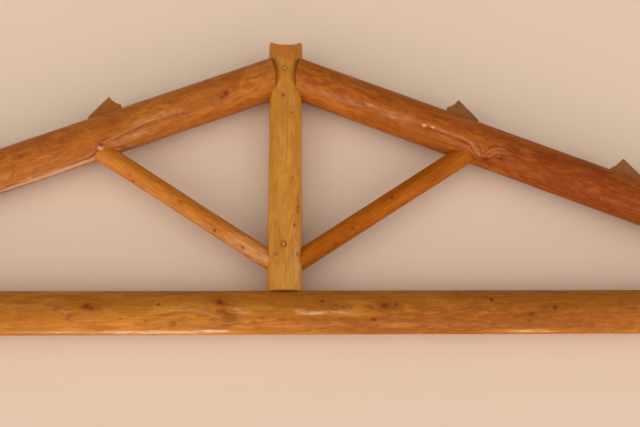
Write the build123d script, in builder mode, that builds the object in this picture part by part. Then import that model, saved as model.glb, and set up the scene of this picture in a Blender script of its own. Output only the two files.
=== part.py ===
from build123d import *
import math
import os

# A king post roof truss of peeled round logs, for a 9.75 m building, stored lying on its back.
# X runs along the span, Y runs from the tie beam towards the ridge, and Z is the depth of the logs.
# The origin lies on the floor under the middle of the truss. Every size is in millimetres.

# Tie beam
tie_length = 9750.0
tie_left_diameter = 304.0
tie_right_diameter = 314.0
bearing_length = 400.0
bearing_depth = 20.0
post_seat_depth = 16.0
post_seat_margin = 10.0

# Top chords
apex_height = 1897.0
heel_half_span = 4754.0
left_chord_head_diameter = 320.0
left_chord_heel_diameter = 312.0
right_chord_head_diameter = 320.0
right_chord_heel_diameter = 326.0
heel_step_half_span = 4700.0
heel_step_depth = 50.0

# King post
post_foot_diameter = 256.0
post_shoulder_diameter = 250.0
post_head_diameter = 266.0
neck_half_width = 77.0
shoulder_height = 1718.0
flare_start_height = 1820.0
flare_knee_half_width = 111.0
flare_knee_height = 1972.0
flare_end_height = 2030.0
post_top_height = 2150.0
ridge_saddle_diameter = 268.0
ridge_saddle_height = 2085.0

# Struts
strut_foot_height = 308.0
strut_head_station = 1607.0
left_strut_foot_diameter = 140.0
left_strut_head_diameter = 150.0
right_strut_foot_diameter = 146.0
right_strut_head_diameter = 158.0
strut_let_in = 15.0

# Round saddles across the backs of the top chords, and the cleat on each one's downhill side
back_saddle_diameter = 296.0
back_saddle_stations = {"upper": 1188.0, "lower": 2510.0}
back_saddle_depth = 12.0
cleat_toe_distance = 345.0
cleat_heel_distance = 85.0
cleat_angle = 29.0
cleat_width = 130.0

# Gap of a scribed joint between two round logs
scribe_gap = 0.3

LEFT = -1
RIGHT = 1


def tie_radius_at(x):
    """Radius of the tapered tie beam at a distance from the middle of the span."""
    share = x / tie_length + 0.5
    return ((1 - share) * tie_left_diameter + share * tie_right_diameter) / 2


# The truss's own frame: all log axes lie in one plane, and heights start at the tie beam's axis
tie_half_length = tie_length / 2
belly_radius = max(
    tie_radius_at(bearing_length - tie_half_length),
    tie_radius_at(tie_half_length - bearing_length),
)
overall_height = belly_radius + post_top_height
thickest_diameter = max(
    tie_left_diameter,
    tie_right_diameter,
    left_chord_head_diameter,
    left_chord_heel_diameter,
    right_chord_head_diameter,
    right_chord_heel_diameter,
    post_foot_diameter,
    post_head_diameter,
)
log_plane_z = thickest_diameter / 2
cut_reach = thickest_diameter
tie_axis_y = belly_radius - overall_height / 2
elevation = Plane(origin=(0, tie_axis_y, log_plane_z), x_dir=(1, 0, 0), z_dir=(0, 0, 1))

chord_slope = math.atan2(apex_height, heel_half_span)


def chord_plane(side):
    """Elevation plane of one chord: X runs downhill from the apex and Y square to the chord."""
    downhill = (side * math.cos(chord_slope), -math.sin(chord_slope), 0)
    return Plane(
        origin=elevation.from_local_coords((0, apex_height, 0)),
        x_dir=downhill,
        z_dir=(0, 0, side),
    )


def peeled_log(start, end, start_diameter, end_diameter):
    """A straight tapered log between two points of its axis."""
    run = end - start
    length = run.length
    lengthwise = Plane(origin=start, x_dir=run.normalized(), z_dir=(0, 0, 1))
    with BuildPart() as log:
        with BuildSketch(lengthwise):
            with BuildLine():
                Polyline(
                    (0, 0),
                    (length, 0),
                    (length, end_diameter / 2),
                    (0, start_diameter / 2),
                    close=True,
                )
            make_face()
        revolve(axis=Axis(start, run))
    return log.part


# Where a chord's square end meets the low corner of its seat in the tie beam
def heel_corner(side):
    x = side * heel_step_half_span
    return x, tie_radius_at(x) - heel_step_depth


def heel_end_station(side):
    """Distance down the chord's axis from the apex to its square end."""
    x, height = heel_corner(side)
    return abs(x) * math.cos(chord_slope) + (apex_height - height) * math.sin(chord_slope)


def chord_underside_at(side, station, diameter):
    """Elevation point on a chord's lowest line, under a station of its axis."""
    below = chord_plane(side).from_local_coords((station, -diameter / 2, 0))
    return elevation.to_local_coords(below)


def heel_seat_start(side):
    """Where the chord's underside first meets the top of the tie beam."""
    head_diameter = left_chord_head_diameter if side == LEFT else right_chord_head_diameter
    heel_diameter = left_chord_heel_diameter if side == LEFT else right_chord_heel_diameter
    upper = chord_underside_at(side, 0, head_diameter)
    lower = chord_underside_at(side, heel_end_station(side), heel_diameter)
    chord_fall = (lower.Y - upper.Y) / (lower.X - upper.X)
    beam_rise = (tie_right_diameter - tie_left_diameter) / 2 / tie_length
    x = (tie_radius_at(0) - upper.Y + chord_fall * upper.X) / (chord_fall - beam_rise)
    return x, tie_radius_at(x)


# Tie beam: one log with a notch for each chord, a shallow flat under the post and a flat
# underneath each end, where it rests on a wall
tie_log = peeled_log(
    elevation.from_local_coords((-tie_half_length, 0, 0)),
    elevation.from_local_coords((tie_half_length, 0, 0)),
    tie_left_diameter,
    tie_right_diameter,
)
bearing_height = bearing_depth - min(tie_left_diameter, tie_right_diameter) / 2
post_seat_height = tie_radius_at(0) - post_seat_depth

with BuildPart() as tie_beam:
    add(tie_log)
    for side in (LEFT, RIGHT):
        seat_x, seat_y = heel_seat_start(side)
        step_x, step_y = heel_corner(side)
        rise = cut_reach
        lean = side * rise * math.tan(chord_slope)
        with BuildSketch(elevation):
            with BuildLine():
                Polyline(
                    (seat_x, seat_y),
                    (step_x, step_y),
                    (step_x + lean, step_y + rise),
                    (seat_x, step_y + rise),
                    close=True,
                )
            make_face()
        extrude(amount=cut_reach, both=True, mode=Mode.SUBTRACT)
    with BuildSketch(elevation):
        with Locations((0, post_seat_height)):
            Rectangle(
                post_foot_diameter + 2 * post_seat_margin,
                cut_reach,
                align=(Align.CENTER, Align.MIN),
            )
    extrude(amount=cut_reach, both=True, mode=Mode.SUBTRACT)
    with BuildSketch(elevation):
        with Locations((-tie_half_length, bearing_height)):
            Rectangle(bearing_length, cut_reach, align=(Align.MIN, Align.MAX))
        with Locations((tie_half_length, bearing_height)):
            Rectangle(bearing_length, cut_reach, align=(Align.MAX, Align.MAX))
    extrude(amount=cut_reach, both=True, mode=Mode.SUBTRACT)
tie_beam.part.label = "tie_beam"


# King post: one log, turned end for end so that its swelling butt is the head. It has a square
# foot, a neck below the head that the chords shoulder into, and a round saddle in its top
def post_shaft(gap):
    """The post's round log from its foot to its shoulder, made fatter all round by a gap."""
    return peeled_log(
        elevation.from_local_coords((0, post_seat_height, 0)),
        elevation.from_local_coords((0, shoulder_height + gap, 0)),
        post_foot_diameter + 2 * gap,
        post_shoulder_diameter + 2 * gap,
    )


def post_head():
    """The log above the shoulder: it swells up to the end of the flare and then runs straight."""
    with BuildPart() as head:
        with BuildSketch(elevation):
            with BuildLine():
                Polyline(
                    (0, shoulder_height),
                    (post_shoulder_diameter / 2, shoulder_height),
                    (post_head_diameter / 2, flare_end_height),
                    (post_head_diameter / 2, post_top_height),
                    (0, post_top_height),
                    close=True,
                )
            make_face()
        revolve(axis=Axis(elevation.origin, (0, 1, 0)))
    return head.part


def neck_outline(side, gap):
    """The neck's bearing line on one side: upright above the shoulder, then scooped outwards."""
    neck_x = side * (neck_half_width + gap)
    knee_x = side * (flare_knee_half_width + gap)
    flare_x = side * (post_head_diameter / 2 + gap)
    slope = (flare_x - knee_x) / (flare_end_height - flare_knee_height)
    top_x = flare_x + slope * (post_top_height - flare_end_height)
    return [
        (neck_x, shoulder_height),
        (neck_x, flare_start_height),
        (knee_x, flare_knee_height),
        (top_x, post_top_height),
    ]


post_shaft_log = post_shaft(0)
post_head_log = post_head()
with BuildPart() as king_post:
    add(post_shaft_log)
    add(post_head_log)
    for side in (LEFT, RIGHT):
        with BuildSketch(elevation):
            with BuildLine():
                Polyline(
                    *neck_outline(side, 0),
                    (side * cut_reach, post_top_height),
                    (side * cut_reach, shoulder_height),
                    close=True,
                )
            make_face()
        extrude(amount=cut_reach, both=True, mode=Mode.SUBTRACT)
    with BuildSketch(elevation):
        with Locations((0, ridge_saddle_height + ridge_saddle_diameter / 2)):
            Circle(ridge_saddle_diameter / 2)
    extrude(amount=cut_reach, both=True, mode=Mode.SUBTRACT)
king_post.part.label = "king_post"


# Top chords: a log each, cut square at the heel, flat underneath where it lies in the tie
# beam's notch, fitted to the post's neck, with two saddles on its back and its strut's housing
def chord_log(side, growth):
    plane = chord_plane(side)
    head_diameter = left_chord_head_diameter if side == LEFT else right_chord_head_diameter
    heel_diameter = left_chord_heel_diameter if side == LEFT else right_chord_heel_diameter
    return peeled_log(
        plane.origin,
        plane.from_local_coords((heel_end_station(side), 0, 0)),
        head_diameter + 2 * growth,
        heel_diameter + 2 * growth,
    )


def chord_radius_at(side, station):
    head_diameter = left_chord_head_diameter if side == LEFT else right_chord_head_diameter
    heel_diameter = left_chord_heel_diameter if side == LEFT else right_chord_heel_diameter
    share = station / heel_end_station(side)
    return ((1 - share) * head_diameter + share * heel_diameter) / 2


def saddle_centre(side, station):
    """Centre of the round of a saddle, in the plane of the chord."""
    reach = chord_radius_at(side, station) + back_saddle_diameter / 2 - back_saddle_depth
    return station, reach


def strut_log(side, gap):
    foot_diameter = left_strut_foot_diameter if side == LEFT else right_strut_foot_diameter
    head_diameter = left_strut_head_diameter if side == LEFT else right_strut_head_diameter
    return peeled_log(
        elevation.from_local_coords((0, strut_foot_height, 0)),
        chord_plane(side).from_local_coords((strut_head_station, 0, 0)),
        foot_diameter + 2 * gap,
        head_diameter + 2 * gap,
    )


def make_strut_housing(side):
    """The pocket in a chord's underside: the strut's outline down to an even depth."""
    outline = strut_log(side, scribe_gap)
    chord_core = chord_log(side, -strut_let_in - scribe_gap)
    with BuildPart() as housing:
        add(outline)
        add(chord_core, mode=Mode.SUBTRACT)
    return housing.part


def make_top_chord(side):
    log = chord_log(side, 0)
    post_below_shoulder = post_shaft(scribe_gap)
    housing = make_strut_housing(side)
    bearing_line = neck_outline(side, scribe_gap)
    seat_x, seat_y = heel_seat_start(side)
    step_x, step_y = heel_corner(side)
    seat_fall = (step_y - seat_y) / (step_x - seat_x)
    with BuildPart() as chord:
        add(log)
        with BuildSketch(elevation):
            with BuildLine():
                Polyline(
                    (bearing_line[0][0], 0),
                    *bearing_line[1:],
                    (-side * cut_reach, post_top_height),
                    (-side * cut_reach, 0),
                    close=True,
                )
            make_face()
        extrude(amount=cut_reach, both=True, mode=Mode.SUBTRACT)
        with BuildSketch(elevation):
            with BuildLine():
                Polyline(
                    (seat_x - side * cut_reach, seat_y - side * cut_reach * seat_fall),
                    (step_x + side * cut_reach, step_y + side * cut_reach * seat_fall),
                    (step_x + side * cut_reach, -cut_reach),
                    (seat_x - side * cut_reach, -cut_reach),
                    close=True,
                )
            make_face()
        extrude(amount=cut_reach, both=True, mode=Mode.SUBTRACT)
        add(post_below_shoulder, mode=Mode.SUBTRACT)
        add(housing, mode=Mode.SUBTRACT)
        with BuildSketch(chord_plane(side)):
            for station in back_saddle_stations.values():
                with Locations(saddle_centre(side, station)):
                    Circle(back_saddle_diameter / 2)
        extrude(amount=cut_reach, both=True, mode=Mode.SUBTRACT)
    return chord


# Struts: a small log each, scribed round the post at its foot and let into the chord above
def make_strut(side):
    log = strut_log(side, 0)
    post = post_shaft(scribe_gap)
    chord_core = chord_log(side, -strut_let_in)
    with BuildPart() as strut:
        add(log)
        add(post, mode=Mode.SUBTRACT)
        add(chord_core, mode=Mode.SUBTRACT)
    return strut


# Cleats: a wedge on the downhill side of each saddle, hollowed to its round and scribed to
# the chord
def make_cleat(side, station):
    centre_station, centre_offset = saddle_centre(side, station)
    toe_station = station + cleat_toe_distance
    toe_offset = chord_radius_at(side, toe_station)
    rise = toe_offset + cleat_toe_distance * math.tan(math.radians(cleat_angle))
    chord = chord_log(side, scribe_gap)
    with BuildPart() as cleat:
        with BuildSketch(chord_plane(side)):
            with BuildLine():
                Polyline(
                    (toe_station, 0),
                    (toe_station, toe_offset),
                    (station, rise),
                    (station, 0),
                    close=True,
                )
            make_face()
            with Locations((station, 0)):
                Rectangle(
                    cleat_heel_distance,
                    centre_offset,
                    align=(Align.MIN, Align.MIN),
                    mode=Mode.SUBTRACT,
                )
            with Locations((centre_station, centre_offset)):
                Circle(back_saddle_diameter / 2, mode=Mode.SUBTRACT)
        extrude(amount=cleat_width / 2, both=True)
        add(chord, mode=Mode.SUBTRACT)
    return cleat


os.makedirs("parts", exist_ok=True)
export_step(tie_beam.part, "parts/tie_beam.step")
export_step(king_post.part, "parts/king_post.step")
for side, side_name in ((LEFT, "left"), (RIGHT, "right")):
    top_chord = make_top_chord(side)
    top_chord.part.label = "top_chord_" + side_name
    export_step(top_chord.part, "parts/top_chord_" + side_name + ".step")
    strut = make_strut(side)
    strut.part.label = "strut_" + side_name
    export_step(strut.part, "parts/strut_" + side_name + ".step")
    for place, station in back_saddle_stations.items():
        cleat = make_cleat(side, station)
        cleat.part.label = "purlin_cleat_" + place + "_" + side_name
        export_step(cleat.part, "parts/" + cleat.part.label + ".step")
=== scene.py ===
import math

import bpy
import bmesh
import numpy as np
from mathutils import Matrix, Vector


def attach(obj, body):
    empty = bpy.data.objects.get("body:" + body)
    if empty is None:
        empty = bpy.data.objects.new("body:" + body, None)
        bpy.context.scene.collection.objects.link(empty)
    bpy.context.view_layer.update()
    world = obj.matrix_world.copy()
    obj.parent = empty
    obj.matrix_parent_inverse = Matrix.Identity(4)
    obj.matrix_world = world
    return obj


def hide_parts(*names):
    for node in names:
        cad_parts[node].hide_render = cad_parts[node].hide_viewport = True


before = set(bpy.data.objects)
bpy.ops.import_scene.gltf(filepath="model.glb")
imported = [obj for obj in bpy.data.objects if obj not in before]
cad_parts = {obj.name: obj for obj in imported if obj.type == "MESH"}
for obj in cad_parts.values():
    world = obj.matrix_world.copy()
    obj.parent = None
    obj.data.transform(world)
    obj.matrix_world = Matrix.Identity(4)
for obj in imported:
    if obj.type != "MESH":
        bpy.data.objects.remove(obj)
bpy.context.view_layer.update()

# Camera: a plain one with a 41.6 mm lens that sees the truss from below its middle. The truss
# lies on its back here, so the camera hangs over its tie beam and tilts to the ridge.
camera_data = bpy.data.cameras.new("camera")
camera_data.sensor_width = 36.0
camera_data.lens = 41.625
camera = bpy.data.objects.new("camera", camera_data)
camera.location = (0.0266, -2.0814, 5.2895)
camera.rotation_euler = (0.3418, -0.0409, -0.0114)
bpy.context.scene.collection.objects.link(camera)
bpy.context.scene.camera = camera


# Tie beam: the long straight log, probably pine, that the truss stands on. It is peeled,
# smoothed with a drawknife and varnished, and it is notched for the top chords and flattened
# under the post.
tie_length = 9.75
tie_radii = (0.152, 0.157)
tie_axis_y = -0.996603
log_plane_z = 0.163
bearing_length = 0.400
bearing_height = 0.020 - 0.152
post_seat_half_width = 0.138
post_seat_height = 0.1385
heel_step = 4.700
heel_step_depth = 0.050
cutter_reach = 0.4
cut_height = 0.5
overcut = 0.1
row_step = 0.06
closest_rows = 0.003
deepest_relief = 0.004
flat_turn = math.radians(13)
check_depth = 0.004
check_half_turn = math.radians(0.5)
check_fade = 0.15
sharp_angle = math.radians(34)
apex_height = 1.897
chord_slope = math.atan2(apex_height, 4.754)
chord_radii = {-1: (0.160, 0.156), 1: (0.160, 0.163)}


def on_truss(x, height):
    """A point of the plane of the log axes, by its place along the span and its height."""
    return Vector((x, tie_axis_y + height, log_plane_z))


def tie_radius_at(x):
    share = x / tie_length + 0.5
    return tie_radii[0] + (tie_radii[1] - tie_radii[0]) * share


def smooth_noise(x, y, z, seed):
    """Value noise from -1 to 1, one value for each point."""
    corners = [np.floor(a).astype(np.int64) for a in (x, y, z)]
    parts = [a - c for a, c in zip((x, y, z), corners)]
    parts = [p * p * (3 - 2 * p) for p in parts]
    total = np.zeros(np.shape(x))
    for corner in range(8):
        step = [(corner >> k) & 1 for k in range(3)]
        mixed = (corners[0] + step[0]) * 73856093
        mixed = mixed ^ ((corners[1] + step[1]) * 19349663)
        mixed = mixed ^ ((corners[2] + step[2]) * 83492791) ^ (seed * 39916801)
        mixed = ((mixed & 0x7FFFFFFF) ^ ((mixed & 0x7FFFFFFF) >> 13)) * 1274126177
        value = (mixed & 0xFFFFF) / 0x7FFFF - 1
        weight = 1.0
        for p, s in zip(parts, step):
            weight = weight * (p if s else 1 - p)
        total = total + weight * value
    return total


def turn_between(angles, middle):
    """How far round the log each angle lies from a middle one, all in radians."""
    return (angles - middle + math.pi) % (2 * math.pi) - math.pi


def grow_log(
    name, start, end, profile, seed, knots=(), stains_and_painted_light=(), ridges=(), checks=(), around=150, rows=()
):
    """A peeled log between two points of its axis, with its length along its own X.

    Places along the log are in metres and angles in degrees from the side that faces up.
    A knot is (place, angle, radius, swell, tone) and a stain (place, angle, half length, half
    width, strength): a positive strength darkens the wood as a stain or as painted shade, and a
    negative one paints a pale sheen, a painted highlight. A ridge is (width, height, side and
    strength of its crease, shine of its crest, its path as places and angles); its crease gets
    painted shade and its crest a painted highlight. A drying check is (first place, last place,
    angle), painted dark as its shade, and a closer set of rows is (first place, last place, step).
    The surface lies up to 4 mm inside the profile, and a drying check up to 4 mm deeper.
    """
    axis = end - start
    length = axis.length
    axis.normalize()
    stations = list(np.linspace(0, length, int(length / row_step) + 1))
    for first, last, step in rows:
        stations += list(np.arange(first, last, step))
    for at, _, size, _, _ in knots:
        stations += [at + size * k for k in (-1.8, -1.2, -0.8, -0.4, 0, 0.4, 0.8, 1.2, 1.8)]
    stations = np.unique(np.round([s for s in stations if 0 <= s <= length], 4))
    stations = stations[np.concatenate([[True], np.diff(stations) > closest_rows])]
    stations[-1] = length
    angles = list(np.linspace(0, 2 * math.pi, around, endpoint=False))
    for _, _, middle in checks:
        angles += [math.radians(middle + k) % (2 * math.pi) for k in (-1.1, -0.45, 0, 0.45, 1.1)]
    angles = np.unique(np.round(angles, 5))
    around = len(angles)
    s, a = np.meshgrid(stations, angles, indexing="ij")
    crack = np.zeros(s.shape)
    for first, last, middle in checks:
        beside = turn_between(a, math.radians(middle))
        fade = np.clip(np.minimum(s - first, last - s) / check_fade, 0, 1)
        open_part = 0.5 + 0.5 * smooth_noise(s * 3.5, s * 0, s * 0, seed + 9)
        crack += fade * open_part * np.clip(1 - np.abs(beside) / check_half_turn, 0, 1)
        wander = math.radians(1.6) * smooth_noise(s * 3.1, s * 0, s * 0, seed + 8)
        a = a + wander * np.exp(-((beside / math.radians(6)) ** 2))
    cone = np.interp(s, *zip(*profile))
    y, z = np.sin(a) * cone, np.cos(a) * cone
    drift = 0.10 * smooth_noise(s * 0.8, y * 3, z * 3, seed)
    flat = ((a + drift) / flat_turn) % 1.0 - 0.5
    flat_strength = 0.5 + 0.5 * smooth_noise(s * 1.6, y * 9, z * 9, seed + 1)
    dip = 0.0006 * (1 - 4 * flat**2) * flat_strength
    dip += 0.0006 * (1 + smooth_noise(s * 2.2, y * 7, z * 7, seed + 2))
    dip += 0.0005 * (1 + smooth_noise(s * 7, y * 20, z * 20, seed + 3))
    hill, spread, tone_of_knot, stain_and_painted_light, crease_shade, crest_highlight = (np.zeros(s.shape) for _ in range(6))
    crumbled = 1 + 0.45 * smooth_noise(s * 45, y * 55, z * 55, seed + 4)
    for at, angle, size, swell, tone in knots:
        arc = turn_between(a, math.radians(angle)) * cone
        apart = ((s - at) / size) ** 2 + (arc / (0.85 * size)) ** 2
        here = np.exp(-apart * crumbled)
        hill = np.maximum(hill, here)
        tone_of_knot += here * tone
        spread += np.exp(-(((s - at) / (4.5 * size)) ** 2) - (arc / (2.0 * size)) ** 2)
        dip -= swell * (np.exp(-apart / 3) - 0.45 * np.exp(-apart * 5))
    ragged = 1 + 0.4 * smooth_noise(s * 14, y * 45, z * 45, seed + 5)
    ragged = ragged + 0.6 * smooth_noise(s * 30, y * 110, z * 110, seed + 6)
    ragged = np.clip(ragged, 0.2, 3)
    # Positive marks paint stains and painted shade, negative marks painted sheen and highlights.
    for at, angle, half_length, half_width, strength in stains_and_painted_light:
        arc = turn_between(a, math.radians(angle)) * cone
        apart = (((s - at) / half_length) ** 2 + (arc / half_width) ** 2) * ragged
        stain_and_painted_light += strength * np.exp(-(apart**1.3))
    # Each ridge paints a dark crease beside it as painted shade and a pale crest as a painted highlight.
    for width, rise, crease_side, shine, path in ridges:
        places, turns = zip(*path)
        middle = np.radians(np.interp(s, places, turns))
        arc = turn_between(a, middle) * cone
        tilt = np.gradient(middle[:, 0], stations)[:, None] * cone
        arc = arc / np.sqrt(1 + tilt**2)
        past = np.clip(np.maximum(places[0] - s, s - places[-1]) / (4 * width), 0, 1)
        fade = (1 - past) ** 2
        dip += rise * fade * (1.2 * np.exp(-((arc / (3.5 * width)) ** 2)))
        dip -= rise * fade * (2.0 * np.exp(-((arc / width) ** 2)))
        beside = arc - math.copysign(1.3 * width, crease_side)
        line = fade * crumbled * np.exp(-((beside / (0.8 * width)) ** 2))
        dip += 0.4 * rise * line
        crease_shade = np.maximum(crease_shade, line * abs(crease_side))
        top = shine * fade * np.exp(-((arc / width) ** 2))
        crest_highlight = np.maximum(crest_highlight, top * np.clip(1.7 - ragged, 0, 1))
    radius = cone - np.clip(dip, 0, deepest_relief) - check_depth * crack
    points = np.stack([s, radius * np.sin(a), radius * np.cos(a)], -1).reshape(-1, 3)
    count = len(stations)
    here = np.arange((count - 1) * around).reshape(count - 1, around)
    next_round = np.roll(here, -1, 1)
    quads = np.stack([here, here + around, next_round + around, next_round], -1)
    last_ring = range((count - 1) * around, count * around)
    faces = [tuple(q) for q in quads.reshape(-1, 4).tolist()]
    faces += [tuple(range(around)), tuple(reversed(last_ring))]
    mesh = bpy.data.meshes.new(name)
    mesh.from_pydata(points.tolist(), [], faces)
    # The crease layer is painted shade for ridge creases and drying checks, the crest layer is painted
    # highlights, and the stain layer holds stains, painted shade and painted sheen.
    layers = {
        "knot": hill,
        "knot_spread": spread,
        "knot_tone": tone_of_knot,
        "stain_and_painted_light": stain_and_painted_light,
        "crease_shade": np.maximum(crease_shade * 0.7, crack),
        "crest_highlight": crest_highlight,
    }
    for label, values in layers.items():
        layer = mesh.attributes.new(label, "FLOAT", "POINT")
        layer.data.foreach_set("value", values.ravel().astype(np.float32))
    log = bpy.data.objects.new(name, mesh)
    bpy.context.scene.collection.objects.link(log)
    across = Vector((0, 0, 1)).cross(axis)
    turned = Matrix((axis, across, Vector((0, 0, 1)))).transposed()
    log.matrix_world = Matrix.Translation(start) @ turned.to_4x4()
    return log


def sawn_block(outline, half_depth=cutter_reach):
    """A block with an outline in the plane of the log axes, to cut with or to shape."""
    block = bmesh.new()
    shift = Vector((0, 0, half_depth))
    near = [block.verts.new(p + shift) for p in outline]
    far = [block.verts.new(p - shift) for p in outline]
    block.faces.new(near)
    block.faces.new(list(reversed(far)))
    for k in range(len(outline)):
        j = (k + 1) % len(outline)
        block.faces.new((near[j], near[k], far[k], far[j]))
    bmesh.ops.recalc_face_normals(block, faces=block.faces)
    mesh = bpy.data.meshes.new("cutter")
    block.to_mesh(mesh)
    block.free()
    cutter = bpy.data.objects.new("cutter", mesh)
    bpy.context.scene.collection.objects.link(cutter)
    return cutter


def sawn_box(low_x, high_x, low, high):
    corners = ((low_x, low), (high_x, low), (high_x, high), (low_x, high))
    return sawn_block([on_truss(x, y) for x, y in corners])


def cut_away(piece, cutters):
    """Takes each cutter out of a piece."""
    for cutter in cutters:
        boolean = piece.modifiers.new("cut", "BOOLEAN")
        boolean.solver = "MANIFOLD"
        boolean.operation = "DIFFERENCE"
        boolean.object = cutter
        bpy.context.view_layer.update()
        whole = piece.evaluated_get(bpy.context.evaluated_depsgraph_get())
        mesh = bpy.data.meshes.new_from_object(whole)
        piece.modifiers.remove(boolean)
        piece.data = mesh
        bpy.data.objects.remove(cutter)
    piece.data.name = piece.name


def finish_piece(piece, material, slot, *nodes):
    """Smooths the round surfaces, keeps the cut edges sharp and seats the piece."""
    piece.data.materials.clear()
    piece.data.materials.append(material)
    piece.data.shade_smooth()
    piece.data.set_sharp_from_angle(angle=sharp_angle)
    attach(piece, "root")
    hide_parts(*nodes)


def node(tree, kind, inputs=(), **settings):
    """Adds a shader node, sets its properties, and fills or links its inputs in order."""
    made = tree.nodes.new(kind)
    for key, value in settings.items():
        setattr(made, key, value)
    pairs = inputs.items() if isinstance(inputs, dict) else enumerate(inputs)
    for key, value in pairs:
        if isinstance(value, bpy.types.NodeSocket):
            tree.links.new(value, made.inputs[key])
        else:
            made.inputs[key].default_value = value
    return made


def maths(tree, operation, *inputs):
    return node(tree, "ShaderNodeMath", inputs, operation=operation).outputs[0]


def ramp(tree, value, low, high, out_low=0.0, out_high=1.0):
    """A smooth change between two values of the input."""
    inputs = {0: value, 1: low, 2: high, 3: out_low, 4: out_high}
    return node(tree, "ShaderNodeMapRange", inputs, interpolation_type="SMOOTHSTEP").outputs[0]


def stretched_noise(tree, vector, along, across, detail, roughness=0.5, scale=1.0, curl=0.0):
    stretch = node(tree, "ShaderNodeVectorMath", (vector, (along, across, across)), operation="MULTIPLY")
    inputs = {"Vector": stretch.outputs[0], "Scale": scale, "Detail": detail, "Roughness": roughness}
    inputs["Distortion"] = curl
    return node(tree, "ShaderNodeTexNoise", inputs).outputs["Fac"]


def painted(tree, label):
    return node(tree, "ShaderNodeAttribute", attribute_name=label).outputs["Fac"]


def blend(tree, factor, first, second, mode="MIX"):
    """Mixes two colours by a factor, or multiplies them."""
    made = tree.nodes.new("ShaderNodeMix")
    made.data_type = "RGBA"
    made.blend_type = mode
    for key, value in ((0, factor), (6, first), (7, second)):
        if isinstance(value, bpy.types.NodeSocket):
            tree.links.new(value, made.inputs[key])
        elif isinstance(value, tuple):
            made.inputs[key].default_value = (*value, 1.0)
        else:
            made.inputs[key].default_value = value
    return made.outputs[2]


# One growth pattern serves every log: rings by depth below the peeled surface, streaks and
# fibres along the length, slow changes of tone, knots that push the rings aside, and splits
# that run out from the heart on cut ends, which the wood paints dark as their shade.
growth = bpy.data.node_groups.new("growth", "ShaderNodeTree")
for label in ("Start Radius", "End Radius", "Length", "Seed", "Figure", "Curl"):
    growth.interface.new_socket(label, in_out="INPUT", socket_type="NodeSocketFloat")
given = node(growth, "NodeGroupInput").outputs
place = node(growth, "ShaderNodeTexCoord").outputs["Object"]
apart = node(growth, "ShaderNodeSeparateXYZ", (place,)).outputs
squares = [maths(growth, "MULTIPLY", apart[k], apart[k]) for k in (1, 2)]
from_axis = maths(growth, "SQRT", maths(growth, "ADD", *squares))
share = maths(growth, "DIVIDE", apart[0], given["Length"])
taper = maths(growth, "SUBTRACT", given["End Radius"], given["Start Radius"])
cone = maths(growth, "MULTIPLY_ADD", share, taper, given["Start Radius"])
depth = maths(growth, "SUBTRACT", cone, from_axis)
shift = node(growth, "ShaderNodeCombineXYZ", (given["Seed"], given["Seed"], 0.0)).outputs[0]
moved = node(growth, "ShaderNodeVectorMath", (place, shift), operation="ADD").outputs[0]
crumbs = stretched_noise(growth, moved, 90.0, 90.0, 2.0)
crumbs = maths(growth, "MULTIPLY_ADD", crumbs, 1.1, 0.45)
knot = maths(growth, "MULTIPLY", painted(growth, "knot"), crumbs)
swirl = stretched_noise(growth, moved, 1.0, 7.0, 2.0)
ripple = stretched_noise(growth, moved, 5.0, 40.0, 3.0)
rings = maths(growth, "MULTIPLY", depth, 260.0)
rings = maths(growth, "MULTIPLY_ADD", swirl, given["Figure"], rings)
rings = maths(growth, "MULTIPLY_ADD", ripple, 1.3, rings)
rings = maths(growth, "MULTIPLY_ADD", painted(growth, "knot_spread"), 1.3, rings)
wave = maths(growth, "FRACT", rings)
latewood = maths(growth, "MULTIPLY", ramp(growth, wave, 0.10, 0.88), ramp(growth, wave, 0.99, 0.93))
fibre = stretched_noise(growth, moved, 7.0, 300.0, 3.0, 0.6)
streak = stretched_noise(growth, moved, 1.6, 110.0, 3.0, 0.6)
fleck = stretched_noise(growth, moved, 22.0, 120.0, 2.0)
mottle = stretched_noise(growth, moved, 5.5, 13.0, 4.0, 0.6, given["Curl"], 1.2)
broad = stretched_noise(growth, moved, 1.8, 5.0, 3.0)
ragged = stretched_noise(growth, moved, 13.0, 42.0, 3.0, 0.55)
cut = ramp(growth, depth, 0.0045, 0.0065)
whole = ramp(growth, cut, 0.0, 1.0, 1.0, 0.25)
turn = maths(growth, "MULTIPLY", maths(growth, "ARCTAN2", apart[1], apart[2]), 1.3)
outward = maths(growth, "MULTIPLY", from_axis, 1.6)
spokes = node(growth, "ShaderNodeCombineXYZ", (turn, outward, given["Seed"])).outputs[0]
spokes = stretched_noise(growth, spokes, 1.0, 1.0, 0.0)
off_spoke = maths(growth, "ABSOLUTE", maths(growth, "SUBTRACT", spokes, 0.5))
split = maths(growth, "MULTIPLY", ramp(growth, off_spoke, 0.013, 0.003), cut)
rim = maths(growth, "MULTIPLY", ramp(growth, knot, 0.14, 0.36), ramp(growth, knot, 0.82, 0.58))
height = maths(growth, "MULTIPLY_ADD", latewood, 0.4, maths(growth, "ADD", fibre, streak))
collected = {
    "Latewood": latewood,
    "Streak": ramp(growth, streak, 0.34, 0.66),
    "Fibre": ramp(growth, fibre, 0.28, 0.70),
    "Fleck": ramp(growth, fleck, 0.60, 0.72),
    "Mottle": maths(growth, "MULTIPLY", ramp(growth, mottle, 0.36, 0.66), whole),
    "Tone": ramp(growth, broad, 0.36, 0.66),
    "Cut": cut,
    "Split": split,
    "Knot": knot,
    "Knot Rim": rim,
    "Ragged": ramp(growth, ragged, 0.32, 0.68, 0.55, 1.30),
    "Height": height,
}
for label in collected:
    growth.interface.new_socket(label, in_out="OUTPUT", socket_type="NodeSocketFloat")
node(growth, "NodeGroupOutput", collected)


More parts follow.
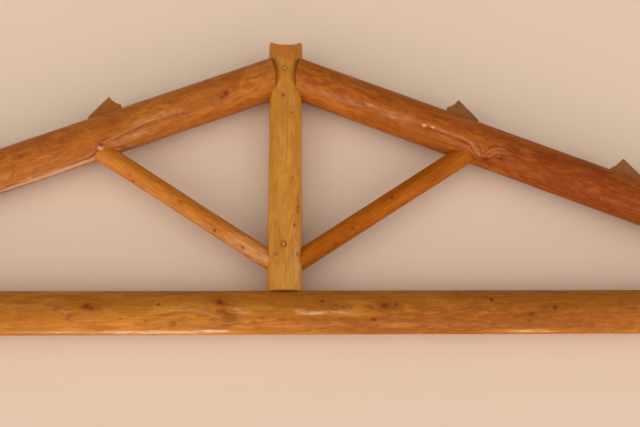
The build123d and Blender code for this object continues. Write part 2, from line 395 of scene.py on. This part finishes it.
def varnished_wood(
    name, radii, length, seed, early, late, deep, painted_sheen_colour, pith,
    figure=5.0, curl=1.0, mottled=0.55, ringed=0.55, gloss=1.0
):
    """Varnished softwood: early and late wood, a deep colour for stains and painted shade, a pale colour
    for painted sheen and highlights, and the knots' pith.
    """
    material = bpy.data.materials.new(name)
    material.use_nodes = True
    tree = material.node_tree
    shader = tree.nodes["Principled BSDF"]
    grown = node(tree, "ShaderNodeGroup", node_tree=growth)
    grown.inputs["Start Radius"].default_value = radii[0]
    grown.inputs["End Radius"].default_value = radii[1]
    grown.inputs["Length"].default_value = length
    grown.inputs["Seed"].default_value = seed
    grown.inputs["Figure"].default_value = figure
    grown.inputs["Curl"].default_value = curl
    out = grown.outputs
    cloud = maths(tree, "MULTIPLY", painted(tree, "knot_spread"), 0.30)
    ring_depth = ramp(tree, out["Cut"], 0.0, 1.0, ringed, 0.85)
    colour = blend(tree, maths(tree, "MULTIPLY", out["Latewood"], ring_depth), early, late)
    colour = blend(tree, maths(tree, "MULTIPLY", out["Mottle"], mottled), colour, deep)
    colour = blend(tree, maths(tree, "MULTIPLY", out["Tone"], mottled), colour, late)
    colour = blend(tree, cloud, colour, deep)
    lines = maths(tree, "MULTIPLY_ADD", out["Streak"], 0.16, 0.92)
    lines = maths(tree, "MULTIPLY", lines, maths(tree, "MULTIPLY_ADD", out["Fibre"], 0.14, 0.93))
    lines = maths(tree, "MULTIPLY", lines, maths(tree, "MULTIPLY_ADD", out["Fleck"], -0.16, 1.0))
    shade = node(tree, "ShaderNodeCombineColor", (lines, lines, lines)).outputs[0]
    colour = blend(tree, 1.0, colour, shade, "MULTIPLY")
    # Positive marks darken towards the deep colour, as stains and as painted shade; negative marks and
    # ridge crests paint the pale sheen colour as a painted highlight and raise the coat.
    stain_and_painted_light = maths(tree, "MULTIPLY", painted(tree, "stain_and_painted_light"), out["Ragged"])
    sheen = maths(tree, "MAXIMUM", ramp(tree, stain_and_painted_light, 0.0, -1.0), painted(tree, "crest_highlight"))
    colour = blend(tree, ramp(tree, stain_and_painted_light, 0.0, 1.0), colour, deep)
    colour = blend(tree, sheen, colour, painted_sheen_colour)
    knot_tone = ramp(tree, painted(tree, "knot_tone"), -0.25, 0.35)
    heart = blend(tree, knot_tone, pith, early)
    colour = blend(tree, ramp(tree, out["Knot"], 0.25, 0.80, 0.0, 0.85), colour, heart)
    dark_rim = maths(tree, "MULTIPLY_ADD", knot_tone, 0.65, 0.15)
    colour = blend(tree, maths(tree, "MULTIPLY", out["Knot Rim"], dark_rim), colour, pith)
    # Ridge creases, drying checks and end splits are painted dark towards the pith colour as their
    # shade.
    gap_shade = maths(tree, "MAXIMUM", painted(tree, "crease_shade"), out["Split"])
    colour = blend(tree, maths(tree, "MULTIPLY", gap_shade, 0.85), colour, pith)
    tree.links.new(colour, shader.inputs["Base Color"])
    tree.links.new(ramp(tree, out["Fibre"], 0.0, 1.0, 0.42, 0.54), shader.inputs["Roughness"])
    shine = maths(tree, "MULTIPLY_ADD", out["Mottle"], -0.08 * gloss, 0.13 * gloss)
    shine = maths(tree, "MULTIPLY_ADD", sheen, 0.22, shine)
    shine = maths(tree, "MULTIPLY", shine, ramp(tree, out["Cut"], 0.0, 1.0, 1.0, 0.4))
    shine = maths(tree, "MULTIPLY", shine, ramp(tree, out["Knot"], 0.2, 0.7, 1.0, 0.2))
    tree.links.new(shine, shader.inputs["Coat Weight"])
    shader.inputs["Coat Roughness"].default_value = 0.30
    shader.inputs["Specular IOR Level"].default_value = 0.12 * gloss
    bump = node(tree, "ShaderNodeBump", {"Height": out["Height"]})
    bump.inputs["Strength"].default_value = 0.30
    bump.inputs["Distance"].default_value = 0.0012
    tree.links.new(bump.outputs[0], shader.inputs["Normal"])
    return material


def heel_corner(side):
    """Where a chord's square end meets the low corner of its notch."""
    x = side * heel_step
    return x, tie_radius_at(x) - heel_step_depth


def heel_end_station(side):
    """How far down its axis from the apex a chord runs."""
    x, height = heel_corner(side)
    return abs(x) * math.cos(chord_slope) + (apex_height - height) * math.sin(chord_slope)


def on_chord(side, station, offset):
    """A point beside a chord's axis: down the slope from the apex and square out from it."""
    along = Vector((side * math.cos(chord_slope), -math.sin(chord_slope), 0))
    out = Vector((side * math.sin(chord_slope), math.cos(chord_slope), 0))
    return on_truss(0, apex_height) + station * along + offset * out


def heel_seat_start(side):
    """Where the chord's underside first meets the top of the tie beam."""
    head, heel = chord_radii[side]
    upper = on_chord(side, 0, -head)
    lower = on_chord(side, heel_end_station(side), -heel)
    fall = (lower.y - upper.y) / (lower.x - upper.x)
    beam_rise = (tie_radii[1] - tie_radii[0]) / tie_length
    beam_top = tie_axis_y + tie_radius_at(0)
    x = (beam_top - upper.y + fall * upper.x) / (fall - beam_rise)
    return x, tie_radius_at(x)


tie_knots = [
    (3.540, 6, 0.024, 0.0010, -0.6),
    (3.575, 1, 0.014, 0.0006, -0.3),
    (3.430, -20, 0.014, 0.0006, 0.0),
    (3.337, 0, 0.014, 0.0006, 0.1),
    (4.020, 10, 0.012, 0.0008, -0.2),
    (4.121, -42, 0.020, 0.0008, 0.0),
    (4.433, 15, 0.024, 0.0010, -0.5),
    (5.135, 18, 0.016, 0.0008, -0.3),
    (5.223, 1, 0.020, 0.0008, 0.1),
    (5.278, 1, 0.012, 0.0006, -0.1),
    (5.484, -30, 0.022, 0.0010, -0.3),
    (5.382, -44, 0.014, 0.0006, 0.0),
    (5.561, 5, 0.028, 0.0012, -0.5),
    (5.640, 8, 0.014, 0.0006, -0.4),
    (6.307, 22, 0.018, 0.0010, -0.3),
    (6.315, -45, 0.016, 0.0010, -0.1),
    (6.565, -34, 0.012, 0.0008, -0.3),
    (6.578, -17, 0.020, 0.0008, -0.2),
    (6.745, -1, 0.020, 0.0012, -0.4),
    (6.671, -1, 0.012, 0.0008, -0.1),
    (0.70, 35, 0.022, 0.0010, -0.3),
    (1.45, -12, 0.018, 0.0010, 0.0),
    (2.30, 50, 0.022, 0.0012, -0.3),
    (8.05, 24, 0.022, 0.0010, -0.3),
    (9.10, -30, 0.018, 0.0010, 0.0),
]
# Tie marks: small dark ones by the knots are stains, the two broadest dark ones over the right half are
# painted shade, the other broad dark ones change the tone, and the pale ones are painted sheen,
# highlights and reflections.
tie_stains_and_painted_light = [
    (3.54, 5, 0.07, 0.035, 0.5),
    (3.60, -2, 0.05, 0.020, 0.4),
    (3.70, 10, 0.12, 0.030, 0.4),
    (4.44, 16, 0.05, 0.030, 0.6),
    (4.46, -5, 0.06, 0.035, 0.5),
    (4.50, -28, 0.06, 0.036, 1.0),
    (4.48, -46, 0.04, 0.020, 0.6),
    (4.53, -4, 0.05, 0.024, -0.45),
    (4.61, -10, 0.07, 0.030, -0.6),
    (4.40, -64, 0.12, 0.012, -1.0),
    (4.05, -72, 0.50, 0.028, -1.0),
    (3.20, -70, 0.40, 0.020, -0.5),
    (3.78, 5, 0.30, 0.050, -0.15),
    (4.97, -8, 0.08, 0.028, -0.75),
    (5.08, -15, 0.09, 0.020, -0.75),
    (5.24, -12, 0.16, 0.022, -0.85),
    (5.42, -19, 0.12, 0.022, -0.75),
    (5.65, -48, 0.12, 0.022, -1.0),
    (5.56, 3, 0.07, 0.030, 0.4),
    (6.58, -22, 0.06, 0.030, 0.4),
    (6.75, -2, 0.06, 0.026, 0.4),
    (6.58, -71, 0.26, 0.026, -1.5),
    (6.60, -20, 1.60, 0.400, 0.48),
    (6.05, -56, 1.50, 0.110, 0.42),
    (2.75, -20, 0.45, 0.300, 0.30),
    (4.18, -30, 0.34, 0.090, 0.30),
    (5.10, -24, 0.60, 0.090, 0.22),
    (3.10, -24, 0.50, 0.070, 0.15),
    (6.35, -24, 0.80, 0.080, 0.15),
]
tie_ridges = [
    (0.010, 0.0008, -0.5, 0.15, ((3.36, -2), (3.40, -10), (3.43, -24), (3.47, -33), (3.60, -30))),
    (0.010, 0.0008, 0.5, 0.0, ((4.36, 20), (4.44, 10), (4.47, -12), (4.50, -40))),
    (0.012, 0.0008, 0.3, 0.1, ((3.02, 6), (3.16, 10), (3.30, 4), (3.42, -8))),
    (0.012, 0.0008, -0.3, 0.2, ((4.00, -10), (4.16, -4), (4.32, -8), (4.42, -22))),
    (0.010, 0.0008, 0.4, 0.0, ((6.44, -30), (6.56, -22), (6.66, -10), (6.72, 4))),
]
tie_beam = grow_log(
    "tie_beam_log",
    on_truss(-tie_length / 2, 0),
    on_truss(tie_length / 2, 0),
    ((0, tie_radii[0]), (tie_length, tie_radii[1])),
    seed=11,
    knots=tie_knots,
    stains_and_painted_light=tie_stains_and_painted_light,
    ridges=tie_ridges,
    checks=[(1.2, 2.9, 35), (7.4, 9.2, -40), (0.3, 4.4, 170)],
    rows=[(2.4, 7.5, 0.024)],
)
notches = []
for side in (-1, 1):
    seat, foot = heel_seat_start(side), heel_corner(side)
    lean = side * cutter_reach * math.tan(chord_slope)
    rise = foot[1] + cutter_reach
    outline = (seat, foot, (foot[0] + lean, rise), (seat[0], rise))
    notches.append(sawn_block([on_truss(x, y) for x, y in outline]))
notches.append(
    sawn_box(-post_seat_half_width, post_seat_half_width, post_seat_height, cut_height)
)
half_length = tie_length / 2
inner_end, outer_end = half_length - bearing_length, half_length + overcut
notches.append(sawn_box(-outer_end, -inner_end, -cut_height, bearing_height))
notches.append(sawn_box(inner_end, outer_end, -cut_height, bearing_height))
cut_away(tie_beam, notches)
tie_wood = varnished_wood(
    "tie_wood",
    tie_radii,
    tie_length,
    seed=1.7,
    early=(0.52, 0.192, 0.020),
    late=(0.34, 0.104, 0.009),
    deep=(0.26, 0.070, 0.007),
    painted_sheen_colour=(0.63, 0.37, 0.19),
    pith=(0.17, 0.026, 0.003),
    figure=6.0,
    curl=0.3,
    mottled=0.50,
    gloss=0.6,
)
finish_piece(tie_beam, tie_wood, "tie_log", "tie_beam")


# King post: a straight peeled and varnished log that stands on the tie beam and hangs from
# the two chords at its neck. Its butt end is the head, which swells above the neck and ends
# in a round saddle.
post_radii = (0.128, 0.125)
head_radius = 0.133
post_top = 2.150
neck_half_width = 0.077
shoulder_height = 1.718
flare_start = 1.820
flare_knee = (0.111, 1.972)
flare_end = 2.030
saddle_radius = 0.134
saddle_height = 2.085
post_length = post_top - post_seat_height
shaft_length = shoulder_height - post_seat_height


def round_bar(start, end, radii, sides=160):
    """A plain tapered round, to cut or to scribe against."""
    axis = end - start
    length = axis.length
    axis.normalize()
    angles = np.linspace(0, 2 * math.pi, sides, endpoint=False)
    rings = [
        [(x, r * math.sin(a), r * math.cos(a)) for a in angles]
        for x, r in ((0, radii[0]), (length, radii[1]))
    ]
    faces = [(k, k + sides, (k + 1) % sides + sides, (k + 1) % sides) for k in range(sides)]
    faces += [tuple(range(sides)), tuple(reversed(range(sides, 2 * sides)))]
    mesh = bpy.data.meshes.new("round")
    mesh.from_pydata(rings[0] + rings[1], [], faces)
    bar = bpy.data.objects.new("round", mesh)
    bpy.context.scene.collection.objects.link(bar)
    across = Vector((0, 0, 1)).cross(axis) if abs(axis.z) < 0.9 else Vector((1, 0, 0))
    turned = Matrix((axis, across, axis.cross(across))).transposed()
    bar.matrix_world = Matrix.Translation(start) @ turned.to_4x4()
    return bar


def crosswise_bar(centre, radius):
    """A round that runs square through the plane of the log axes."""
    reach = Vector((0, 0, cutter_reach))
    return round_bar(centre - reach, centre + reach, (radius, radius))


def neck_line(side):
    """Where the neck's bearing face runs: upright above the shoulder, then scooped outwards."""
    neck, knee = side * neck_half_width, side * flare_knee[0]
    slope = (side * head_radius - knee) / (flare_end - flare_knee[1])
    top = side * head_radius + slope * (post_top - flare_end)
    return (neck, shoulder_height), (neck, flare_start), (knee, flare_knee[1]), (top, post_top)


post_knots = [
    (1.740, 4, 0.022, 0.0012, 0.4),
    (1.722, 2, 0.010, 0.0004, -0.5),
    (1.510, 7, 0.018, 0.0014, -0.4),
    (1.366, -21, 0.012, 0.0010, -0.1),
    (0.838, -27, 0.010, 0.0010, -0.1),
    (0.620, -48, 0.014, 0.0012, -0.2),
    (0.585, -46, 0.010, 0.0008, -0.2),
    (0.474, -33, 0.014, 0.0010, -0.1),
    (0.326, 3, 0.024, 0.0012, 0.9),
    (0.318, 5, 0.010, 0.0004, -0.9),
    (0.256, 30, 0.013, 0.0010, -0.3),
    (0.259, -45, 0.014, 0.0008, 0.1),
    (1.15, 160, 0.022, 0.0010, -0.3),
    (0.66, 120, 0.020, 0.0010, 0.1),
    (0.45, -140, 0.020, 0.0010, -0.3),
]
# Post marks: the broad dark one over the head is painted shade, the pale ones low on the post are
# painted highlights, and the other dark ones are stains.
post_stains_and_painted_light = [
    (1.72, 4, 0.05, 0.025, 0.3),
    (1.52, 14, 0.04, 0.026, 0.5),
    (1.36, 35, 0.12, 0.035, 0.25),
    (0.78, 30, 0.05, 0.040, 0.4),
    (0.71, -20, 0.04, 0.070, 0.3),
    (0.60, -47, 0.09, 0.016, 0.6),
    (0.52, -36, 0.06, 0.014, 0.4),
    (0.46, 28, 0.03, 0.040, 0.3),
    (0.10, 0, 0.12, 0.100, -0.2),
    (0.24, -46, 0.28, 0.045, -0.45),
    (1.94, 0, 0.12, 0.200, 1.25),
]
post_ridges = [
    (0.009, 0.0005, 0.4, 0.0, ((0.36, 9), (0.45, 15), (0.50, 32))),
    (0.009, 0.0005, -0.3, 0.0, ((0.36, -2), (0.45, -9), (0.55, -18))),
]
king_post = grow_log(
    "king_post_log",
    on_truss(0, post_seat_height),
    on_truss(0, post_top),
    (
        (0, post_radii[0]),
        (shaft_length, post_radii[1]),
        (flare_end - post_seat_height, head_radius),
        (post_length, head_radius),
    ),
    seed=23,
    knots=post_knots,
    stains_and_painted_light=post_stains_and_painted_light,
    ridges=post_ridges,
    checks=[(0.02, 1.41, -5), (0.5, 1.6, 150)],
    rows=[(0.0, 2.01, 0.018)],
)
post_cuts = []
for side in (-1, 1):
    beyond = side * cutter_reach
    outline = (*neck_line(side), (beyond, post_top + 0.01), (beyond, shoulder_height))
    post_cuts.append(sawn_block([on_truss(x, y) for x, y in outline]))
post_cuts.append(crosswise_bar(on_truss(0, saddle_height + saddle_radius), saddle_radius))
cut_away(king_post, post_cuts)
full_taper = post_radii[0] + (post_radii[1] - post_radii[0]) * post_length / shaft_length
post_wood = varnished_wood(
    "post_wood",
    (post_radii[0], full_taper),
    post_length,
    seed=5.1,
    early=(0.57, 0.250, 0.033),
    late=(0.44, 0.168, 0.019),
    deep=(0.40, 0.130, 0.014),
    painted_sheen_colour=(0.62, 0.32, 0.10),
    pith=(0.19, 0.048, 0.005),
    figure=2.2,
    mottled=0.45,
)
finish_piece(king_post, post_wood, "post_log", "king_post")


# Top chords: the two sloping logs, peeled and varnished. Each ends square in its notch of the
# tie beam and butts the king post's neck. Its back has two round saddles and its underside
# houses a strut.
saddle_stations = (1.188, 2.510)
saddle_depth = 0.012
back_saddle_radius = 0.148
strut_foot_height = 0.308
strut_head_station = 1.607
strut_let_in = 0.015
strut_radii = {-1: (0.070, 0.075), 1: (0.073, 0.079)}
bury = 0.003
chord_knots = {
    -1: [
        (0.506, 25, 0.022, 0.0014, -0.3),
        (0.545, 31, 0.014, 0.0010, -0.1),
        (1.502, 48, 0.018, 0.0014, -0.5),
        (1.545, 56, 0.014, 0.0010, 0.2),
        (1.76, 4, 0.020, 0.0010, 0.1),
        (2.06, 10, 0.016, 0.0010, 0.0),
        (0.92, -4, 0.016, 0.0008, 0.1),
        (2.80, 10, 0.024, 0.0012, -0.3),
        (3.40, 60, 0.022, 0.0010, -0.3),
        (4.30, 20, 0.022, 0.0010, -0.3),
        (2.2, 190, 0.022, 0.0010, -0.3),
    ],
    1: [
        (1.675, -61, 0.022, 0.0018, -0.4),
        (1.778, -44, 0.018, 0.0014, -0.3),
        (0.702, -8, 0.014, 0.0008, 0.1),
        (0.849, 6, 0.014, 0.0008, 0.1),
        (2.072, -10, 0.022, 0.0010, 0.0),
        (2.150, 5, 0.014, 0.0008, -0.2),
        (2.90, -50, 0.024, 0.0012, -0.3),
        (3.60, -10, 0.022, 0.0010, -0.3),
        (4.40, -35, 0.022, 0.0010, -0.3),
        (2.4, 170, 0.022, 0.0010, -0.3),
    ],
}
chord_ridges = {
    -1: [
        (0.011, 0.0016, 1, 0.20, ((0.82, 35), (0.94, 30), (1.11, 28), (1.24, 33), (1.40, 41))),
        (0.009, 0.0008, 0.5, 0.05, ((0.53, 26), (0.67, 31), (0.82, 35))),
        (0.008, 0.0010, 0.8, 0.10, ((0.90, 39), (1.02, 35), (1.16, 36), (1.30, 43))),
        (0.014, 0.0016, 0.9, 0.25, ((1.55, 58), (1.64, 70), (1.80, 72), (2.12, 74), (2.60, 70))),
        (0.010, 0.0010, -1, 0.20, ((1.44, 40), (1.50, 44), (1.54, 56))),
    ],
    1: [
        (0.015, 0.0012, -0.3, 0.10, ((0.21, -35), (0.47, -32), (0.70, -29), (0.98, -22), (1.10, -25))),
        (0.015, 0.0018, -0.9, 0.30, ((1.20, -26), (1.38, -27), (1.47, -27), (1.53, -32), (1.62, -56))),
        (0.013, 0.0014, -0.7, 0.12, ((1.22, -52), (1.39, -49), (1.52, -44), (1.61, -64))),
        (0.008, 0.0016, -1.0, 0.22, ((1.57, -18), (1.592, -26), (1.626, -38), (1.645, -54))),
        (0.008, 0.0015, 1, 0.28, ((1.66, -54), (1.668, -40), (1.69, -27), (1.730, -19), (1.77, -17))),
        (0.009, 0.0014, -0.9, 0.20, ((1.690, -50), (1.712, -38), (1.745, -31), (1.79, -28))),
        (0.007, 0.0009, 0.8, 0.10, ((1.70, -62), (1.735, -52), (1.77, -50))),
    ],
}
# Chord marks: the pale ones are painted sheen and glints, the broad dark one low on the right chord is
# painted shade, and the other dark ones are stains.
chord_stains_and_painted_light = {
    -1: [
        (0.52, 28, 0.05, 0.022, 0.6),
        (1.12, 22, 0.20, 0.020, -0.35),
        (1.28, 54, 0.20, 0.034, -0.35),
        (0.92, 34, 0.14, 0.016, -0.30),
        (1.52, 58, 0.03, 0.022, -0.7),
        (1.95, 88, 0.50, 0.036, -1.2),
        (1.40, 0, 0.16, 0.060, 0.5),
        (1.85, 15, 0.12, 0.050, 0.4),
        (0.67, -20, 0.12, 0.040, 0.4),
        (2.10, 30, 0.16, 0.050, 0.3),
    ],
    1: [
        (0.30, -42, 0.16, 0.026, -0.25),
        (0.52, -38, 0.16, 0.030, -0.30),
        (0.72, -30, 0.05, 0.018, -0.65),
        (0.94, -32, 0.16, 0.036, -0.45),
        (1.16, -30, 0.02, 0.013, -1.1),
        (1.22, -27, 0.02, 0.012, -1.0),
        (1.38, -34, 0.16, 0.026, -0.35),
        (1.58, -46, 0.06, 0.022, -0.35),
        (1.72, -34, 0.03, 0.016, -0.40),
        (1.68, -62, 0.04, 0.024, 0.8),
        (1.82, -34, 0.10, 0.050, 0.25),
        (2.08, -6, 0.07, 0.045, 0.9),
        (1.88, -14, 0.07, 0.030, 0.3),
        (1.93, -42, 0.08, 0.030, -0.12),
        (2.22, -56, 0.10, 0.040, 0.5),
        (0.42, -16, 0.14, 0.040, 0.5),
        (0.78, 0, 0.16, 0.040, 0.5),
        (1.30, 4, 0.20, 0.040, 0.3),
        (2.50, -30, 0.95, 0.300, 0.78),
    ],
}


def chord_radius_at(side, station):
    head, heel = chord_radii[side]
    return head + (heel - head) * station / heel_end_station(side)


def chord_bar(side, inset):
    ends = (on_chord(side, 0, 0), on_chord(side, heel_end_station(side), 0))
    return round_bar(*ends, tuple(r - inset for r in chord_radii[side]))


def post_bar(inset):
    ends = (on_truss(0, post_seat_height), on_truss(0, shoulder_height))
    return round_bar(*ends, tuple(r - inset for r in post_radii))


# The right chord's colours are scaled darker than the left's as painted shade.
for side, side_name, painted_shade_scale in ((-1, "left", 0.99), (1, "right", 0.90)):
    length = heel_end_station(side)
    chord = grow_log(
        "top_chord_log_" + side_name,
        on_chord(side, 0, 0),
        on_chord(side, length, 0),
        ((0, chord_radii[side][0]), (length, chord_radii[side][1])),
        seed=37 + side,
        knots=chord_knots[side],
        stains_and_painted_light=chord_stains_and_painted_light[side],
        ridges=chord_ridges[side],
        checks=[(2.8, 4.6, side * -20), (0.6, 3.0, 160)],
        around=170,
        rows=[(0.1, 3.1, 0.022), (1.4, 1.6 if side < 0 else 1.9, 0.009)],
    )
    neck_foot, *flare = neck_line(side)
    (seat_x, seat_y), (foot_x, foot_y) = heel_seat_start(side), heel_corner(side)
    fall = (foot_y - seat_y) / (foot_x - seat_x)
    reach = side * cutter_reach
    neck_side = (
        (neck_foot[0], 0),
        *flare,
        (-reach, post_top),
        (-reach, 0),
    )
    under_seat = (
        (seat_x - reach, seat_y - reach * fall),
        (foot_x + reach, foot_y + reach * fall),
        (foot_x + reach, -cutter_reach),
        (seat_x - reach, -cutter_reach),
    )
    cutters = [sawn_block([on_truss(x, y) for x, y in o]) for o in (neck_side, under_seat)]
    cutters.append(post_bar(bury))
    for station in saddle_stations:
        offset = chord_radius_at(side, station) + back_saddle_radius - saddle_depth
        cutters.append(crosswise_bar(on_chord(side, station, offset), back_saddle_radius))
    cut_away(chord, cutters)
    wood = varnished_wood(
        "chord_wood_" + side_name,
        chord_radii[side],
        length,
        seed=9.3 + 3.1 * side,
        early=(0.47 * painted_shade_scale, 0.152 * painted_shade_scale**2, 0.014 * painted_shade_scale),
        late=(0.31 * painted_shade_scale, 0.083 * painted_shade_scale**2, 0.008 * painted_shade_scale),
        deep=(0.24 * painted_shade_scale, 0.046 * painted_shade_scale**2, 0.005 * painted_shade_scale),
        painted_sheen_colour=(0.61, 0.32, 0.17),
        pith=(0.15, 0.022, 0.002),
        curl=1.3,
        mottled=0.65,
        ringed=0.35,
        gloss=0.9 if side < 0 else 0.45,
    )
    finish_piece(chord, wood, "chord_log", "top_chord_" + side_name)


# Struts: two thin peeled and varnished logs that prop the chords from low on the king post.
# The foot is scribed round the post, and the head is let into the chord's underside.
strut_knots = {
    -1: [
        (0.575, 41, 0.016, 0.0010, -0.4),
        (0.334, 36, 0.013, 0.0008, -0.4),
        (0.90, 10, 0.014, 0.0008, 0.2),
        (1.30, 60, 0.014, 0.0008, -0.3),
        (1.05, 190, 0.016, 0.0008, -0.4),
    ],
    1: [
        (0.567, -22, 0.014, 0.0008, -0.5),
        (0.943, 6, 0.016, 0.0010, -0.4),
        (1.30, -30, 0.014, 0.0008, 0.2),
        (0.40, -50, 0.012, 0.0008, -0.3),
        (0.80, 170, 0.016, 0.0008, -0.4),
    ],
}
# The left strut's pale marks are painted highlights; the right strut's dark marks are stains.
strut_stains_and_painted_light = {
    -1: [(0.85, 60, 0.80, 0.022, -0.4), (0.24, 20, 0.30, 0.080, -0.6)],
    1: [(0.50, -30, 0.14, 0.030, 0.4), (1.15, 20, 0.20, 0.030, 0.4)],
}
# The right strut's colours are darker and the left's paler, as painted shade and painted light.
strut_lit_and_shaded_colours = {
    -1: ((0.55, 0.180, 0.013), (0.40, 0.114, 0.009), (0.32, 0.078, 0.008)),
    1: ((0.405, 0.108, 0.003), (0.300, 0.068, 0.002), (0.24, 0.046, 0.002)),
}
for side, side_name in ((-1, "left"), (1, "right")):
    foot = on_truss(0, strut_foot_height)
    head = on_chord(side, strut_head_station, 0)
    early, late, deep = strut_lit_and_shaded_colours[side]
    strut = grow_log(
        "strut_log_" + side_name,
        foot,
        head,
        ((0, strut_radii[side][0]), ((head - foot).length, strut_radii[side][1])),
        seed=51 + side,
        knots=strut_knots[side],
        stains_and_painted_light=strut_stains_and_painted_light[side],
        checks=[(0.5, 1.5, side * 15)],
        around=104,
        rows=[(0.0, 2.0, 0.02)],
    )
    cut_away(strut, [post_bar(bury), chord_bar(side, strut_let_in)])
    wood = varnished_wood(
        "strut_wood_" + side_name,
        strut_radii[side],
        (head - foot).length,
        seed=15.2 + 2.3 * side,
        early=early,
        late=late,
        deep=deep,
        painted_sheen_colour=(0.60, 0.27, 0.09),
        pith=(0.18, 0.034, 0.003),
        figure=3.0,
        mottled=0.45,
        gloss=1.0 if side < 0 else 0.4,
    )
    finish_piece(strut, wood, "strut_log", "strut_" + side_name)


# Wedge cleats: sawn blocks of darker wood on the chords' backs, one on the downhill side of
# each saddle and hollowed to the same round. Their fixings don't show. Each is sawn from
# inside a thick log, so all its faces have cut grain.
cleat_toe_distance = 0.345
cleat_heel_distance = 0.085
cleat_angle = math.radians(29)
cleat_half_width = 0.065
cleat_root = 0.1
thick_log_radius = 0.5
thick_log_length = 1.0
cleat_colours = {
    -1: ((0.38, 0.120, 0.018), (0.29, 0.083, 0.011), (0.24, 0.062, 0.008)),
    1: ((0.30, 0.112, 0.030), (0.23, 0.078, 0.020), (0.19, 0.058, 0.014)),
}
for side, side_name in ((-1, "left"), (1, "right")):
    early, late, deep = cleat_colours[side]
    for station, place_name in zip(saddle_stations, ("upper", "lower")):
        offset = chord_radius_at(side, station) + back_saddle_radius - saddle_depth
        toe_station = station + cleat_toe_distance
        toe_offset = chord_radius_at(side, toe_station)
        heel_station = station + cleat_heel_distance
        heel_rise = toe_offset + (cleat_toe_distance - cleat_heel_distance) * math.tan(cleat_angle)
        outline = (
            on_chord(side, toe_station, cleat_root),
            on_chord(side, toe_station, toe_offset),
            on_chord(side, heel_station, heel_rise),
            on_chord(side, heel_station, cleat_root),
        )
        cleat = sawn_block(list(outline), cleat_half_width)
        cleat.name = "cleat_" + place_name + "_" + side_name
        lengthwise = Matrix.Rotation(-side * chord_slope, 4, "Z")
        cleat.data.transform(lengthwise.inverted())
        cleat.matrix_world = lengthwise
        saddle = crosswise_bar(on_chord(side, station, offset), back_saddle_radius)
        cut_away(cleat, [chord_bar(side, bury), saddle])
        wood = varnished_wood(
            cleat.name + "_wood",
            (thick_log_radius, thick_log_radius),
            thick_log_length,
            seed=21.4 + station + side,
            early=early,
            late=late,
            deep=deep,
            painted_sheen_colour=(0.40, 0.16, 0.06),
            pith=(0.08, 0.02, 0.004),
            figure=8.0,
        )
        finish_piece(cleat, wood, "cleat_wood", "purlin_cleat_" + place_name + "_" + side_name)


# Floor: a plain pale floor that the truss lies on, large enough to be the whole background.
floor_mesh = bpy.data.meshes.new("floor")
floor_reach = 60
quarters = ((-1, -1), (1, -1), (1, 1), (-1, 1))
floor_corners = [(x * floor_reach, y * floor_reach, 0) for x, y in quarters]
floor_mesh.from_pydata(floor_corners, [], [(0, 1, 2, 3)])
floor = bpy.data.objects.new("floor", floor_mesh)
bpy.context.scene.collection.objects.link(floor)
floor_paint = bpy.data.materials.new("floor_paint")
floor_paint.use_nodes = True
floor_shader = floor_paint.node_tree.nodes["Principled BSDF"]
floor_shader.inputs["Base Color"].default_value = (0.74, 0.57, 0.44, 1.0)
floor_shader.inputs["Roughness"].default_value = 0.9
floor_mesh.materials.append(floor_paint)


# Lamps: wide soft lights from low beyond the tie beam and from both sides, and a faint one from
# overhead. All are far away, so the floor is evenly lit.
def soft_lamp(name, toward, spread, strength, colour):
    data = bpy.data.lights.new(name, "SUN")
    data.angle = math.radians(spread)
    data.energy = strength
    data.color = colour
    lamp = bpy.data.objects.new(name, data)
    lamp.location = (0, 0, 6)
    lamp.rotation_euler = Vector(toward).to_track_quat("-Z", "Y").to_euler()
    bpy.context.scene.collection.objects.link(lamp)


soft_lamp("low_light", (0, 0.98, -0.17), 40, 1.7, (1.0, 0.97, 0.93))
soft_lamp("left_light", (0.85, 0.35, -0.40), 60, 1.4, (1.0, 0.98, 0.96))
soft_lamp("right_light", (-0.85, 0.35, -0.40), 60, 1.25, (1.0, 0.98, 0.96))
soft_lamp("overhead_light", (0.05, 0.10, -1.0), 110, 0.6, (1.0, 0.98, 0.96))
world = bpy.data.worlds.new("surround")
bpy.context.scene.world = world
world.use_nodes = True
surround = world.node_tree.nodes["Background"]
surround.inputs["Color"].default_value = (0.95, 0.88, 0.80, 1.0)
surround.inputs["Strength"].default_value = 0.42
bpy.context.scene.view_settings.view_transform = "Standard"
